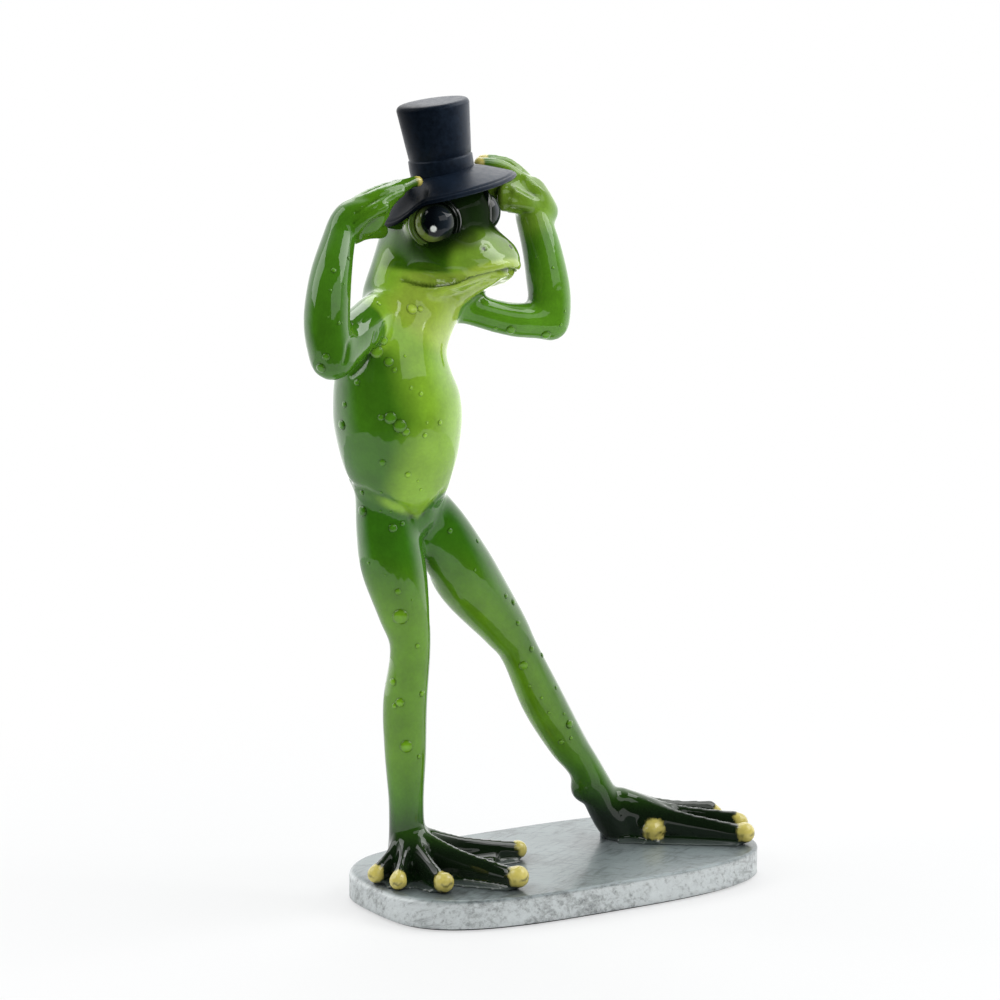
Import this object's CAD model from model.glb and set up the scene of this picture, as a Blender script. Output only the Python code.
# %% [markdown]
# # A varnished resin frog that holds its top hat
# The real thing is about 24 cm tall: a frog cast in resin, airbrushed green,
# varnished until it shines, and glued to a flat oval base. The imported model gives
# where each part is. This lesson dresses it, one piece and one finish at a time.

# %% Load the frame
import bpy
import math
import numpy as np
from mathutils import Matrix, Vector
from mathutils.bvhtree import BVHTree


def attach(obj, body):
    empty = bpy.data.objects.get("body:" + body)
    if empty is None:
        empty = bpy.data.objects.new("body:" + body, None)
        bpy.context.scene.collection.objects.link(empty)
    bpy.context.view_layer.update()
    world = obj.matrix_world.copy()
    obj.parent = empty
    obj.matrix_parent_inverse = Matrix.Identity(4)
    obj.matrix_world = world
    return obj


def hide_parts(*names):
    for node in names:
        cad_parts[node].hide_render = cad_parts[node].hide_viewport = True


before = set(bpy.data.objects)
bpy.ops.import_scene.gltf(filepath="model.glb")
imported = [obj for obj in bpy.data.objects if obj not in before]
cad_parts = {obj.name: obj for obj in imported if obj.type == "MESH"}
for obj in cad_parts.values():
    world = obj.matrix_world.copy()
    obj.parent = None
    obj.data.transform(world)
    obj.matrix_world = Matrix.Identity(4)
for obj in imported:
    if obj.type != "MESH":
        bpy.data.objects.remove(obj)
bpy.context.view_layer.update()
MM = 0.001

# %% [markdown]
# ## The camera comes first
# The photograph is taken from the frog's front right, a little above its waist, with a
# long lens. The camera is a point, a distance and two angles. Its axes are kept, because
# small things such as dew drops are placed by where they show in the photograph.

# %% Camera
AZIMUTH = math.radians(-31.4)
ELEVATION = math.radians(9.1)
DISTANCE = 1020.0
AIM = np.array([-20.2, 0.0, 122.0])
PHOTO_WIDTH = 1000
FOCAL = 3400.0  # in pixels of the photograph
SENSOR_WIDTH = 36.0
LEVEL = math.cos(ELEVATION)
BACK = np.array([math.sin(AZIMUTH) * LEVEL, -math.cos(AZIMUTH) * LEVEL, math.sin(ELEVATION)])
RIGHT = np.array([math.cos(AZIMUTH), math.sin(AZIMUTH), 0.0])
UP = np.cross(BACK, RIGHT)
EYE = AIM + BACK * DISTANCE

camera_data = bpy.data.cameras.new("photo_camera")
camera_data.sensor_width = SENSOR_WIDTH
camera_data.lens = FOCAL / PHOTO_WIDTH * SENSOR_WIDTH
camera_data.clip_start = 0.05
camera = bpy.data.objects.new("photo_camera", camera_data)
camera.location = Vector(EYE * MM)
camera.rotation_euler = Vector(BACK).to_track_quat("Z", "Y").to_euler()
bpy.context.collection.objects.link(camera)
bpy.context.scene.camera = camera
print("lens", round(camera_data.lens, 1), "mm")


# %% [markdown]
# ## From formulas to meshes
# Every form here is a grid of points worked out with numpy: rings of points along a
# path, closed by a pole at each end. One helper joins a grid up into faces and one makes
# the Blender object. The cell after them has the three kinds of form that the frog is
# made of: a limb swept along a path, a ball, and a form turned about an axis.

# %% Mesh helpers
def closed_grid(rings):
    """Vertices and triangles of a closed skin over rings[i, j], with the mean of each end ring as pole."""
    n, m, _ = rings.shape
    points = np.vstack([rings.reshape(-1, 3), rings[0].mean(0), rings[-1].mean(0)])
    i, j = np.meshgrid(np.arange(n - 1), np.arange(m), indexing="ij")
    a, b = i * m + j, i * m + (j + 1) % m
    c, d = a + m, b + m
    faces = np.concatenate([np.stack([a, b, d], -1).reshape(-1, 3), np.stack([a, d, c], -1).reshape(-1, 3)])
    k = np.arange(m)
    first = np.stack([np.full(m, n * m), (k + 1) % m, k], -1)
    last = np.stack([np.full(m, n * m + 1), (n - 1) * m + k, (n - 1) * m + (k + 1) % m], -1)
    faces = np.concatenate([faces, first, last])
    p, q, r = (points[faces[:, s]] for s in range(3))
    volume = np.einsum("ij,ij->", p, np.cross(q, r))
    return points, faces if volume > 0 else faces[:, ::-1]


def merged(parts):
    """One set of vertices and faces from several: each part's indices shifted past the last one's."""
    starts = np.cumsum([0] + [len(points) for points, _ in parts[:-1]])
    faces = [part_faces + start for (_, part_faces), start in zip(parts, starts)]
    return np.vstack([points for points, _ in parts]), np.vstack(faces)


def make_object(name, points, faces):
    """Smooth object at the origin with these points, given in millimetres, as its vertices."""
    mesh = bpy.data.meshes.new(name)
    mesh.from_pydata((points * MM).tolist(), [], faces.tolist())
    mesh.polygons.foreach_set("use_smooth", np.full(len(faces), True))
    mesh.update()
    piece = bpy.data.objects.new(name, mesh)
    bpy.context.collection.objects.link(piece)
    return piece


def ramp(low, high, value):
    """Smooth step from 0 at low to 1 at high."""
    t = np.clip((value - low) / (high - low), 0, 1)
    return t * t * (3 - 2 * t)


print("grid, merge and object helpers are ready")


# %% Swept forms, balls and turned forms
def swept(stations, side, around=36):
    """Limb through stations of x, y, z, width, depth: P(s, t) = c(s) + a(s) w(s)/2 cos t + b(s) d(s)/2 sin t.

    c, w and d run along Catmull-Rom curves, a is the side direction made square to the path,
    and b is square to both. Both ends are domed."""
    per_span = 7
    st = np.asarray(stations, float)
    full = np.vstack([2 * st[0] - st[1], st, 2 * st[-1] - st[-2]])
    s = np.linspace(0, len(st) - 1, (len(st) - 1) * per_span + 1)
    i = np.minimum(s.astype(int), len(st) - 2)
    f = (s - i)[:, None]
    p0, p1, p2, p3 = full[i], full[i + 1], full[i + 2], full[i + 3]
    square = (2 * p0 - 5 * p1 + 4 * p2 - p3) * f**2
    cube = (3 * p1 - p0 - 3 * p2 + p3) * f**3
    row = 0.5 * (2 * p1 + (p2 - p0) * f + square + cube)
    way = np.gradient(row[:, :3], axis=0)
    way /= np.linalg.norm(way, axis=1)[:, None]
    dome = np.radians(np.array([80.0, 60.0, 40.0, 20.0]))
    lead = np.minimum(row[0, 3], row[0, 4]) / 2 * np.sin(dome)
    tail = np.minimum(row[-1, 3], row[-1, 4]) / 2 * np.sin(dome[::-1])
    start, end = row[0, :3] - way[0] * lead[:, None], row[-1, :3] + way[-1] * tail[:, None]
    centre = np.vstack([start, row[:, :3], end])
    start, end = row[0, 3:5] * np.cos(dome)[:, None], row[-1, 3:5] * np.cos(dome[::-1])[:, None]
    size = np.maximum(np.vstack([start, row[:, 3:5], end]), 0.02)
    way = np.vstack([np.repeat(way[:1], len(dome), 0), way, np.repeat(way[-1:], len(dome), 0)])
    across = np.asarray(side, float) - way * (way @ np.asarray(side, float))[:, None]
    across /= np.linalg.norm(across, axis=1)[:, None]
    away = np.cross(way, across)
    t = np.linspace(0, 2 * np.pi, around, endpoint=False)
    rings = centre[:, None] + across[:, None] * (size[:, :1] / 2 * np.cos(t))[..., None]
    rings = rings + away[:, None] * (size[:, 1:2] / 2 * np.sin(t))[..., None]
    return closed_grid(rings)


def ball(centre, radii, around=28):
    """Ellipsoid with its axes along x, y and z: P(u, v) = c + r (sin u cos v, sin u sin v, cos u)."""
    u = np.linspace(0.06, np.pi - 0.06, around // 2)[:, None]
    v = np.linspace(0, 2 * np.pi, around, endpoint=False)[None]
    unit = np.stack([np.sin(u) * np.cos(v), np.sin(u) * np.sin(v), np.cos(u) * np.ones_like(v)], -1)
    return closed_grid(np.asarray(centre) + unit * np.asarray(radii))


def turned(centre, axis, profile, around=48, start=(0, 0, 1.0)):
    """Form turned about an axis: P(k, t) = c + axis z(k) + r(k) (u cos t + v sin t), for rows of r, z."""
    axis = np.asarray(axis, float) / np.linalg.norm(axis)
    u = np.cross(axis, start)
    u /= np.linalg.norm(u)
    v = np.cross(axis, u)
    r, z = np.asarray(profile, float).T
    t = np.linspace(0, 2 * np.pi, around, endpoint=False)
    flat = u * np.cos(t)[:, None] + v * np.sin(t)[:, None]
    return closed_grid(np.asarray(centre) + axis * z[:, None, None] + flat * r[:, None, None])


def filled(t, power):
    """Cosine and sine of t with their sizes raised to a power: below 1, the round fills out to a box."""
    cos, sin = np.cos(t), np.sin(t)
    return np.sign(cos) * np.abs(cos) ** power, np.sign(sin) * np.abs(sin) ** power


print("a test ball has", len(ball((0, 0, 0), (1, 1, 1))[1]), "triangles")

# %% [markdown]
# ## Where the joints are
# The frog's skeleton is written in shares of the height from the base to the hat's seat,
# just as the solid model has it, so the skin lies on the solids. Torso, arms and legs
# are swept forms through these places.

# %% Skeleton
STANCE = 211.6
BASE_TOP = 9.4
BASE_LENGTH = 130.0
BASE_WIDTH = 72.0
TORSO_WIDTH = 39
TORSO_DEPTH = 36
UPPER_ARM = 15
FOREARM = 14.4


def joints(shares, width, depth=None):
    """Stations in millimetres from rows of x, y, z shares and one or two shares of a size."""
    s = np.asarray(shares, float)
    place = s[:, :3] * STANCE + np.array([0, 0, BASE_TOP])
    return np.column_stack([place, s[:, 3] * width, s[:, -1] * (depth or width)])


torso_path = joints([
    (-.236, .009, .527, .46, .44), (-.241, .009, .546, .66, .62), (-.250, .005, .575, .80, .76),
    (-.258, .000, .617, .93, .92), (-.263, -.002, .669, 1.0, 1.0), (-.270, -.005, .716, .93, .91),
    (-.264, -.004, .764, .79, .77), (-.241, .001, .801, .72, .66), (-.217, .003, .835, .66, .62),
    (-.206, -.006, .868, .55, .52)], TORSO_WIDTH, TORSO_DEPTH)
right_upper = joints([
    (-.250, -.004, .808, .74), (-.300, -.018, .812, .84), (-.353, -.050, .790, .90),
    (-.4095, -.083, .7625, .93)], UPPER_ARM)
right_fore = joints([
    (-.4095, -.083, .7625, .93), (-.4175, -.083, .805, .95), (-.403, -.068, .868, .86),
    (-.370, -.038, .930, .64)], FOREARM)
left_upper = joints([
    (-.230, .003, .812, .60), (-.165, -.002, .811, .66), (-.095, -.020, .792, .71),
    (-.029, -.028, .785, .76)], UPPER_ARM)
left_fore = joints([
    (-.029, -.028, .785, .86), (-.027, -.022, .822, .92), (-.031, -.008, .884, .84),
    (-.038, .008, .935, .72)], FOREARM)
right_leg = joints([  # the legs' widths are in millimetres
    (-.284, .009, .548, 15.6), (-.277, .009, .512, 18.0), (-.267, .006, .455, 19.6),
    (-.253, .000, .386, 15.6), (-.243, .000, .334, 12.2), (-.244, .014, .252, 13.4),
    (-.241, .019, .176, 12.6), (-.240, .019, .110, 10.8)], 1)
left_leg = joints([
    (-.212, .014, .548, 11.2), (-.177, .019, .497, 15.2), (-.139, .026, .426, 20.0),
    (-.071, .030, .342, 14.8), (-.041, .035, .301, 12.2), (.004, .044, .222, 13.6),
    (.048, .048, .154, 12.2), (.077, .047, .115, 10.6)], 1)
print("hips", round(float(right_leg[0, 2]), 1), "mm above the table")


# %% [markdown]
# ## Head
# The head is a wedge. Seen from the side, the mouth parts it into an upper jaw with a
# rolled lip and a lower jaw a little further in. Each jaw is a row of half rounds: flat
# at the mouth, domed away from it. The eyes stand on mounds, and their glass and their
# raised rings are pieces of their own, which come further on.

# %% Head forms
SNOUT = np.array([-31.8, -26.3, 195.7])
HEAD_TURN = math.radians(18.6)
AHEAD = np.array([math.sin(HEAD_TURN), -math.cos(HEAD_TURN), 0.0])
SIDE = -np.cross([0, 0, 1.0], AHEAD)
RISE = np.array([0, 0, 1.0])
EYE_TURN = 50.0
head_back = np.array([2.0, 2.5, 3.5, 5.3, 8.0, 14.0, 20.0, 27.0, 33.0, 38.0, 42.5, 45.5])
head_half = np.array([2.0, 4.6, 7.0, 10.0, 12.6, 14.6, 15.9, 16.4, 15.8, 14.0, 10.8, 6.0])
head_top = np.array([-0.2, 0.9, 2.1, 4.1, 7.1, 11.2, 16.2, 19.3, 19.6, 18.2, 14.6, 9.8])
mouth_line = np.array([-1.6, -1.9, -2.6, -3.2, -4.0, -5.2, -5.6, -5.4, -5.0, -4.2, -2.7, 0.0])
lip_line = np.array([-1.6, -1.9, -2.6, -3.9, -5.6, -6.9, -7.2, -6.8, -6.0, -4.8, -3.0, 0.0])
chin_line = np.array([-2.0, -2.2, -2.8, -3.7, -5.2, -8.4, -10.8, -11.4, -11.0, -9.8, -6.4, -2.0])


def head_point(back, side, rise):
    """Place in millimetres of a point given back from the snout, to the frog's right and up."""
    back, side, rise = (np.asarray(v, float)[..., None] for v in (back, side, rise))
    return SNOUT - AHEAD * back + SIDE * side + RISE * rise


def head_place(points):
    """How far points lie back from the snout, to the frog's right and up: head_point the other way round."""
    return np.array([(SNOUT - points) @ AHEAD, (points - SNOUT) @ SIDE, (points - SNOUT) @ RISE])


def jaw(inset, top, bottom, bulge, first=0.0):
    """Jaw: P(s, t) has half width h(s) C(t), and rises from a middle to the top and bottom lines by S(t).

    C and S are the cosine and sine, filled out. The inset fades away between 22 and 30 mm back."""
    s = np.linspace(first, 1, 48)
    back = np.interp(s, np.linspace(0, 1, len(head_back)), head_back)
    half = np.maximum(np.interp(back, head_back, head_half) - np.interp(back, (22, 30), (inset, 0)), 0.4)
    high, low = np.interp(back, head_back, top), np.interp(back, head_back, bottom)
    cos, sin = filled(np.linspace(0, 2 * np.pi, 56, endpoint=False), bulge)
    seam = (low + (high - low) * 0.30)[:, None]
    rise = np.where(sin > 0, seam + (high[:, None] - seam) * sin, seam + (seam - low[:, None]) * sin)
    return closed_grid(head_point(back[:, None] + 0 * rise, half[:, None] * cos, rise))


def eye_place(side):
    """Middle of an eye and the way it faces: side is 1 for the frog's right, -1 for its left."""
    turn = math.radians(-side * EYE_TURN)
    cos, sin = math.cos(turn), math.sin(turn)
    facing = np.array([AHEAD[0] * cos - AHEAD[1] * sin, AHEAD[0] * sin + AHEAD[1] * cos, 0])
    return (head_point(18.6, 13.0, 11.5) if side > 0 else head_point(20.6, -11.8, 13.0)), facing


upper_jaw = jaw(0.0, head_top, mouth_line, 0.92)
lower_jaw = jaw(1.1, mouth_line + 1.0, chin_line, 0.95, 0.14)
forehead = ball(head_point(21.5, 0.5, 13.0), (11, 8, 9))
mound = [(0.4, -9), (10.0, -8.6), (9.7, -6), (9.2, -3.4), (8.5, -1.8), (7.6, -0.9), (0.4, -0.8)]
head_parts = [upper_jaw, lower_jaw, forehead] + [turned(*eye_place(side), mound) for side in (1, -1)]
print("head forms:", len(head_parts))

# %% [markdown]
# ## Hands that hold the brim
# Long fingers end in round pads. Each finger is a thin swept form that leaves the wrist,
# arches over the edge of the brim and comes down on it. Flat swept forms fill the palms.
# The far hand mirrors the near one only roughly, because the hat leans.

# %% Arms and hands
HAT_SEAT = np.array([-40.0, 0.0, 221.0])
right_wrist = [
    (-77.6, -8.0, 207.1, 9.4, 9.6), (-75.9, -8.5, 209.6, 9.6, 9.2), (-73.5, -9.0, 211.5, 10.5, 7.6),
    (-70.5, -9.5, 213.0, 11, 5.2)]
right_fingers = [  # five places along the finger, its thickness and the radius of its pad
    ([(-74.6, -8.0, 211.2), (-69.9, -9.0, 214.4), (-64.3, -9.0, 216.7), (-58.4, -8.5, 218.2),
      (-52.4, -7.5, 218.9)], 3.5, 1.75),
    ([(-75.5, -9.5, 208.8), (-72.3, -12.0, 211.8), (-68.6, -13.0, 214.0), (-64.7, -12.5, 215.5),
      (-60.8, -11.5, 216.6)], 3.7, 1.7),
    ([(-76.7, -10.5, 206.3), (-74.8, -13.0, 208.9), (-72.4, -14.0, 210.7), (-70.1, -14.5, 212.0),
      (-67.8, -14.5, 212.7)], 3.7, 1.7),
    ([(-74, -5, 211.5), (-68, -3, 214.3), (-62.5, -1.5, 216.2), (-57, 0, 217.2),
      (-52.5, 1, 217.9)], 3.4, 1.7),
    ([(-76.0, -8.0, 204.1), (-72.7, -8.0, 204.6), (-69.8, -7.5, 205.0), (-66.6, -6.5, 205.1),
      (-63.7, -5.5, 204.9)], 4.6, 2.3)]
right_palm = [
    [(-76.9, -8.0, 205.9, 9, 7), (-73.0, -8.0, 207.5, 9, 5), (-69.4, -8.0, 208.7, 7, 4)],
    [(-75.2, -9.0, 209.0, 10.5, 6.5), (-71.4, -10.5, 210.4, 12.2, 5.2), (-68.7, -11.5, 212.5, 10.2, 4.4),
     (-65.9, -11.8, 214.6, 7.8, 3.8), (-60.6, -10.5, 217.0, 4.6, 3.4), (-56.7, -9.0, 218.1, 3.4, 3),
     (-53.7, -7.8, 218.6, 2.8, 2.8)]]
left_wrist = [
    (-3.9, 2.0, 207.3, 9.5, 9.5), (-5.7, 2.0, 210.9, 10, 8.6), (-8.2, 3.0, 214.5, 11, 6),
    (-11.4, 3.5, 217.6, 11, 4.2)]
left_fingers = [
    ([(-8.8, 1.0, 213.8), (-12.3, 1.5, 217.7), (-15.9, 2.0, 220.6), (-19.4, 2.5, 222.0),
      (-26.0, 3.0, 223.0)], 3.8, 1.9),
    ([(-6.2, 4.0, 214.1), (-9.5, 5.0, 218.5), (-12.7, 6.0, 221.5), (-15.7, 6.8, 222.7),
      (-22.2, 7.0, 223.5)], 3.8, 1.9),
    ([(-3.4, 8.0, 213.2), (-6.0, 9.5, 217.4), (-8.9, 10.5, 220.4), (-12.1, 11.0, 221.7),
      (-14.9, 11.5, 222.0)], 3.8, 1.9)]
left_palm = [  # the palm, two tendons that stand out on it, and a filler towards the eye
    [(-2.9, 2.0, 207.5, 9.0, 8), (-8.8, 1.0, 212.3, 12.5, 6), (-15.3, 0.0, 212.7, 10.5, 4.5),
     (-20.1, -1.0, 212.5, 8.4, 3.6)],
    [(-6.5, -1.5, 209.7, 3, 3), (-12.1, -2.6, 211.7, 2.6, 2.6), (-17.1, -2.8, 214.3, 2.4, 2.4)],
    [(-6.8, -1.5, 208.8, 3, 3), (-12.4, -2.6, 210.0, 2.6, 2.6), (-17.8, -2.8, 211.1, 2.4, 2.4)],
    [(-12.0, 2.5, 213.6, 8, 5), (-17.0, 3.0, 213.8, 8, 5), (-22.3, 3.5, 213.7, 6, 4)]]


def hand(wrist, fingers, palm):
    """The wrist, each finger with the pad at its end, and the forms that fill the palm."""
    forms = [swept(wrist, (0, 1, 0))]
    for path, thick, tip in fingers:
        rows = [(*p, thick * w, thick * w * .92) for p, w in zip(path, (1.5, 1.15, 1.0, 1.0, 1.05))]
        forms += [swept(rows, (0, 0.3, 1)), ball(path[-1], (tip, tip, tip * .92), 20)]
    return forms + [swept(filler, (0, 0, 1)) for filler in palm]


hand_parts = hand(right_wrist, right_fingers, right_palm) + hand(left_wrist, left_fingers, left_palm)
arm_parts = [swept(path, AHEAD) for path in (right_upper, right_fore, left_upper, left_fore)]
arm_parts.append(ball(right_upper[-1, :3] + [0, 0, 0.6], (7.0, 7.0, 6.9)))
arm_parts.append(ball(left_upper[-1, :3], (6.2, 6.2, 6.3)))
print("hand forms:", len(hand_parts), "arm forms:", len(arm_parts))

# %% [markdown]
# ## Legs and webbed feet
# Each toe is a tall narrow ridge that falls to a round pad. Between two toes there is a
# thin web that rises towards them and is drawn in along its free edge. Where a toe meets
# the base, the varnish has run into a shallow pool, which is a very flat swept form.

# %% Legs and feet
HALF_BASE = (BASE_LENGTH / 2, BASE_WIDTH / 2)
right_foot = [(-50.0, 5.0, 21.4, 11.2, 11.2), (-50.0, 4.6, 15.4, 12.6, 12.0), (-50.2, 4.0, 10.4, 14, 12)]
left_foot = [(22.6, 9.4, 22.6, 11.4, 11.2), (26.4, 8.6, 16.4, 12.6, 11.6), (30.0, 7.6, 11.6, 13, 11)]
right_tips = np.array([(-.970, .03), (-.940, -.25), (-.785, -.52), (-.465, -.74), (-.188, .07)]) * HALF_BASE
left_tips = np.array([(.528, -.05), (.885, -.53), (.940, -.30), (.935, .06), (.78, .50)]) * HALF_BASE
feet = [  # where the toes start, their tips, the pads' radii and how far each toe is lifted
    (np.array([-50.0, 4.2]), right_tips, (2.7, 2.8, 3.2, 3.5, 3.0), (0, 0, 0, 0.6, 0)),
    (np.array([27.5, 7.6]), left_tips, (3.3, 3.4, 3.2, 2.9, 2.6), (0, 0.4, 2.6, 3.4, 0))]


def shank(path, foot):
    """Thigh, knee and calf, and on through the ankle into the foot."""
    return swept(np.vstack([path, foot]), (1, 0, 0), around=48)


def toe(root, tip, pad, lift):
    """Ridge from the ankle, falling from 17 to 6 mm above the base, with its pad and the pool under it."""
    run = np.array([*(tip - root), 0.0])
    across = np.cross(run, [0, 0, 1.0])
    s = np.array([0.0, 0.18, 0.42, 0.64, 0.84, 0.96])
    high = np.array([17.0, 14.2, 10.8, 8.6, 7.0, 6.2]) + lift * s
    wide = np.array([9.0, 6.2, 4.3, 3.8, 4.2, 5.2])
    place = np.array([*root, BASE_TOP]) + run * s[:, None]
    rows = np.column_stack([place[:, :2], BASE_TOP + high / 2 - 0.3, wide, high])
    round_end = ball((*tip, BASE_TOP + pad + lift / 2), (pad, pad, pad), 24)
    ends = np.array([root + (tip - root) * 0.2, root + (tip - root) * (1 - 1.5 / np.linalg.norm(tip - root))])
    pool = np.column_stack([ends, [BASE_TOP + 0.2] * 2, [14, 8.4], [1.5, 1.5]])
    return [swept(rows, across, around=28), round_end, swept(pool, across)]


def web(root, first, second):
    """Web: P(s, t) runs from the ankle at s = 0 to a drawn-in edge at s = 1, its top z = a + b (2t - 1)^2."""
    one, two = first - root, second - root
    reach = min(np.linalg.norm(one), np.linalg.norm(two))
    s = np.linspace(0.02, 1, 26)[:, None]
    t = np.concatenate([np.linspace(0, 1, 15), np.linspace(1, 0, 15)])[None]
    top = np.concatenate([np.ones(15), np.zeros(15)])[None]
    blend = one * (1 - t[..., None]) / np.linalg.norm(one) + two * t[..., None] / np.linalg.norm(two)
    blend /= np.linalg.norm(blend, axis=-1)[..., None]
    out = s * reach * (0.86 - 0.26 * np.sin(np.pi * t)) * np.ones_like(t)
    flat = root + blend * out[..., None]
    lift = (1.3 + 2.6 * (1 - s) + 2.2 * (2 * t - 1) ** 2) * np.ones_like(out)
    z = BASE_TOP + np.where(top > 0.5, lift, -0.6)
    return closed_grid(np.concatenate([flat, z[..., None]], -1))


ankle = ball((17.0, 10.0, 26.7), (4.8, 4.8, 5.2))
leg_parts = [shank(right_leg, right_foot), shank(left_leg, left_foot), ankle]
for root, tips, pads, lifts in feet:
    for tip, pad, lift in zip(tips, pads, lifts):
        leg_parts += toe(root, tip, pad, lift)
    leg_parts += [web(root, first, second) for first, second in zip(tips, tips[1:])]
print("leg and foot forms:", len(leg_parts))

# %% [markdown]
# ## One seamless skin
# The real frog's castings are pinned together, and their joins are filled and painted
# over, so the limbs flow into each other. Here the forms are joined and remeshed on a
# fine voxel grid, which makes one closed skin of even squares.

# %% Join and remesh
VOXEL = 0.73
torso = swept(torso_path, (1, 0, 0), around=64)
seat_profile = [(0.4, -14), (12.4, -13.4), (11.6, -9), (9.6, -3), (8.8, -1.7), (0.4, -1.6)]
seat = turned(HAT_SEAT, (-.1616, 0, .9869), seat_profile)
nape = swept([(-46, 8, 203, 18, 17), (-50, 4.5, 193, 20.5, 19), (-54, 2.5, 184, 22, 20)], (1, 0, 0))
throat = swept([
    (-33.5, -21.2, 193.4, 6.0, 5.2), (-34.8, -17.3, 192.7, 9.7, 8.4), (-37.0, -10.8, 191.5, 14.5, 12.6),
    (-39.5, -3.5, 189.1, 18.9, 16.4), (-42.2, 4.7, 183.2, 21.6, 18.8)], SIDE)
inner_thigh = swept([
    (-42.1, 3.0, 112.0, 12, 12), (-38.2, 3.5, 106.1, 13, 13), (-34.0, 4.5, 100.4, 13, 13)], (1, 0, 0))
right_socket, left_socket = (centre - facing * 7 for centre, facing in (eye_place(1), eye_place(-1)))
brow = swept([
    (*right_socket, 12, 12), (*head_point(19.5, 0.5, 12.2), 13, 12), (*left_socket, 12, 12)], (0, 0, 1))
rump = ball((-31.5, 9.0, 107.0), (6.0, 5.5, 6.5))
body_parts = [torso, seat, nape, throat, inner_thigh, brow, rump]
points, faces = merged(body_parts + head_parts + arm_parts + hand_parts + leg_parts)
raw = make_object("raw_forms", points, faces)
grid = raw.modifiers.new("grid", "REMESH")
grid.mode = "VOXEL"
grid.voxel_size = VOXEL * MM
meshed = bpy.data.meshes.new_from_object(raw.evaluated_get(bpy.context.evaluated_depsgraph_get()))
bpy.data.objects.remove(raw)
skin = np.empty(len(meshed.vertices) * 3)
meshed.vertices.foreach_get("co", skin)
skin = skin.reshape(-1, 3) / MM
edges = np.empty(len(meshed.edges) * 2, int)
meshed.edges.foreach_get("vertices", edges)
edges = edges.reshape(-1, 2)
quads = np.empty(len(meshed.loops), int)
meshed.loops.foreach_get("vertex_index", quads)
quads = quads.reshape(-1, 4)
bpy.data.meshes.remove(meshed)
print("skin:", len(skin), "points,", len(quads), "quads")

# %% [markdown]
# ## Relaxing the skin
# A fresh voxel skin has steps on it, and hard seams where the forms met. Relaxing
# clears both: each point moves towards the mean of its neighbours, many times in the
# hollows where limbs meet and only a few times on fingers, toes, lips and eyes.


# %% Relax, with a mask
def distance(points, place):
    """Distance from each point to a place."""
    return np.linalg.norm(points - np.asarray(place), axis=1)


def spot(points, place, inner, outer):
    """1 within the inner distance of a place and 0 beyond the outer one."""
    return 1 - ramp(inner, outer, distance(points, place))


def near(points, place, radius):
    """1 near a place and 0 beyond the radius."""
    return spot(points, place, 0.55 * radius, radius)


def relaxed(points, weight, times):
    """Each time, P += w (mean of P's neighbours - P)."""
    links = np.bincount(edges.ravel(), minlength=len(points))
    for _ in range(times):
        total = np.empty_like(points)
        for k in range(3):
            total[:, k] = np.bincount(edges[:, 0], points[edges[:, 1], k], len(points))
            total[:, k] += np.bincount(edges[:, 1], points[edges[:, 0], k], len(points))
        points = points + weight[:, None] * (total / links[:, None] - points)
    return points


TRIAL_VOXEL = 0.6  # the passes were counted on a grid this fine, and a coarser one needs fewer
passes = (TRIAL_VOXEL / VOXEL) ** 2
fine = ramp(BASE_TOP + 13, BASE_TOP + 7, skin[:, 2])
for _, tips, _, _ in feet:
    for tip in tips:
        fine = np.maximum(fine, near(skin, (*tip, BASE_TOP + 3), 9))
for place in ((-60, -7, 214), (-68, -9, 211), (-14, 3, 219), (-18, -3, 211)):
    fine = np.maximum(fine, near(skin, place, 15))
fine = np.maximum(fine, near(skin, head_point(8.0, 0.0, -3.0), 22))
for side in (1, -1):
    fine = np.maximum(fine, near(skin, eye_place(side)[0], 12))
skin = relaxed(skin, 0.5 * np.ones(len(skin)), int(4 * passes) + 1)
skin = relaxed(skin, 0.5 * (1 - fine), int(22 * passes))
blends = [  # crown, chest, neck, right and left shoulder, groin, right and left elbow: place and reach
    (head_point(17, -1, 15), 13), ((-52, -3, 180), 26), ((-44, -3, 190), 24), ((-64, -4, 184), 15),
    ((-32, -2, 179), 20), ((-50, 2, 124), 24), ((-88, -17, 170), 16), ((-6, -6, 176), 14)]
blended = np.zeros(len(skin))
for place, radius in blends:
    blended = np.maximum(blended, near(skin, place, radius))
skin = relaxed(skin, 0.5 * blended * (1 - fine), int(40 * passes))
print("relaxed, height", round(float(skin[:, 2].max()), 1), "mm")

# %% [markdown]
# ## Sculpting by formula
# Muscles and creases are moves along the normal: a swelling is a bell curve around a
# point, a crease is a narrow valley along a line of points. That keeps the voxel skin
# and adds what the carver of the first model cut by hand. Each line is given by pixels
# of the photograph, and rays from the camera carry it onto the skin.


# %% Sculpting helpers
def normals_of(points):
    """Unit normals: the cross products of each quad's diagonals, summed at its corners."""
    one = points[quads[:, 2]] - points[quads[:, 0]]
    two = points[quads[:, 3]] - points[quads[:, 1]]
    cross = np.repeat(np.cross(one, two), 4, axis=0)
    total = np.stack([np.bincount(quads.ravel(), cross[:, k], len(points)) for k in range(3)], -1)
    return total / np.maximum(np.linalg.norm(total, axis=1), 1e-9)[:, None]


def line_distance(points, path):
    """Least distance from each point to a line of points, segment by segment."""
    path = np.asarray(path, float)
    best = np.full(len(points), 1e9)
    for a, b in zip(path, path[1:]):
        run = b - a
        f = np.clip((points - a) @ run / (run @ run), 0, 1)
        best = np.minimum(best, np.linalg.norm(points - a - f[:, None] * run, axis=1))
    return best


def swell(points, centre, radius, height):
    """P += n h exp(-|P - c|^2 / r^2)"""
    bell = height * np.exp(-((distance(points, centre) / radius) ** 2))
    return points + normals_of(points) * bell[:, None]


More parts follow.
